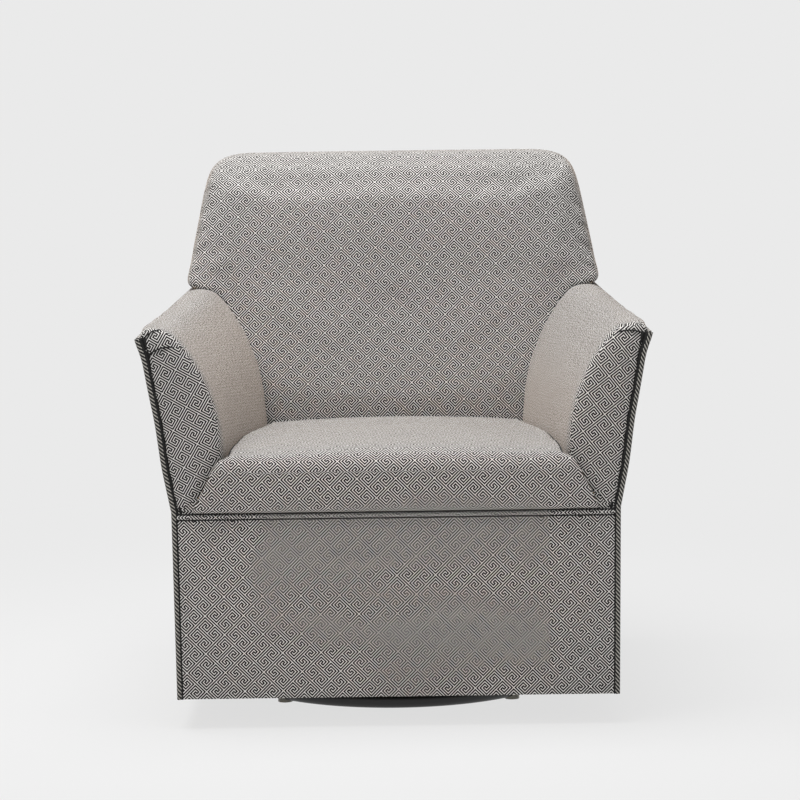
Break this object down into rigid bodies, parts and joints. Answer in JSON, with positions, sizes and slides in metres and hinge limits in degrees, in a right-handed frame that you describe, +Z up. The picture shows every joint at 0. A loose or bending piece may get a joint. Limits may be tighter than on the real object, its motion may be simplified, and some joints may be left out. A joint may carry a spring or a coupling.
{
  "type": "swivel rocker chair",
  "caption": "Upholstered tub-style armchair with flared arms on a round steel ring base, that swivels on a ball race and rocks on a cross shaft with coil springs.",
  "frame": {"origin": "point on the floor under the middle of the chair, on the swivel axis", "axes": "+Z up, the front faces -Y, +X to the sitter's left"},
  "size_m": [0.803, 0.8041, 0.8716],
  "materials": {
    "padded_cover": "woven Greek key fabric over foam",
    "key_fabric": "woven Greek key fabric, charcoal on off-white",
    "black_steel": "satin black powder coat",
    "zinc_steel": "zinc plated",
    "spring_steel": "oiled spring wire",
    "nylon": "moulded nylon",
    "frame_wood": "sawn hardwood",
    "black_cloth": "black cambric and webbing",
    "felt": "felted pad"
  },
  "bodies": {
    "base": {"base_ring": "black_steel", "floor_glides": "nylon", "spider": "black_steel", "spider_bolts": "zinc_steel", "lower_race": "zinc_steel", "king_bolt": "zinc_steel", "king_nut": "zinc_steel"},
    "race": {"ball_cage": "nylon", "bearing_balls": "spring_steel"},
    "turntable": {"upper_race": "zinc_steel", "rocker_bed": "black_steel", "bed_bolts": "zinc_steel", "cross_shaft": "zinc_steel", "stop_rod": "zinc_steel", "pin_clips": "zinc_steel", "lower_spring_cups": "zinc_steel", "springs_front": "spring_steel", "springs_rear": "spring_steel"},
    "chair": {"upper_spring_cups": "zinc_steel", "hanger_plate_left": "black_steel", "hanger_plate_right": "black_steel", "pivot_bushes": "nylon", "mount_bars": "black_steel", "mount_bolts": "zinc_steel", "mount_nuts": "zinc_steel", "slats": "frame_wood", "base_board_left": "frame_wood", "base_board_right": "frame_wood", "base_board_front": "frame_wood", "base_board_rear": "frame_wood", "seat_board_left": "frame_wood", "seat_board_right": "frame_wood", "seat_board_front": "frame_wood", "spring_board": "frame_wood", "front_post_left": "frame_wood", "front_post_right": "frame_wood", "arm_rail_left": "frame_wood", "arm_rail_right": "frame_wood", "back_post_left": "frame_wood", "back_post_right": "frame_wood", "back_board_low": "frame_wood", "back_board_top": "frame_wood", "back_webbing": "black_cloth", "corner_blocks": "frame_wood", "seat_springs": "spring_steel", "seat_deck": "felt", "dust_cover": "black_cloth", "seat_pad": "padded_cover", "arm_pad_left": "padded_cover", "arm_pad_right": "padded_cover", "back_pad": "padded_cover", "front_panel": "key_fabric", "outside_arm_left": "key_fabric", "outside_arm_right": "key_fabric", "outside_back": "key_fabric", "front_welt": "key_fabric", "corner_welt_left": "key_fabric", "corner_welt_right": "key_fabric", "back_welt": "key_fabric"}
  },
  "joints": [
    {"name": "swivel", "type": "hinge", "parent": "base", "child": "turntable", "pos_m": [0, 0, 0.04], "axis": [0, 0, 1], "continuous": true},
    {"name": "race_turn", "type": "hinge", "parent": "base", "child": "race", "pos_m": [0, 0, 0.0375], "axis": [0, 0, 1], "continuous": true},
    {"name": "rock", "type": "hinge", "parent": "turntable", "child": "chair", "pos_m": [0, 0, 0.118], "axis": [1, 0, 0], "range_deg": [-6, 6], "stiffness_Nm_per_rad": 600, "deforming": ["springs_front", "springs_rear"]}
  ],
  "couplings": [
    {"joint": "race_turn", "follows": "swivel", "ratio": 0.5}
  ]
}
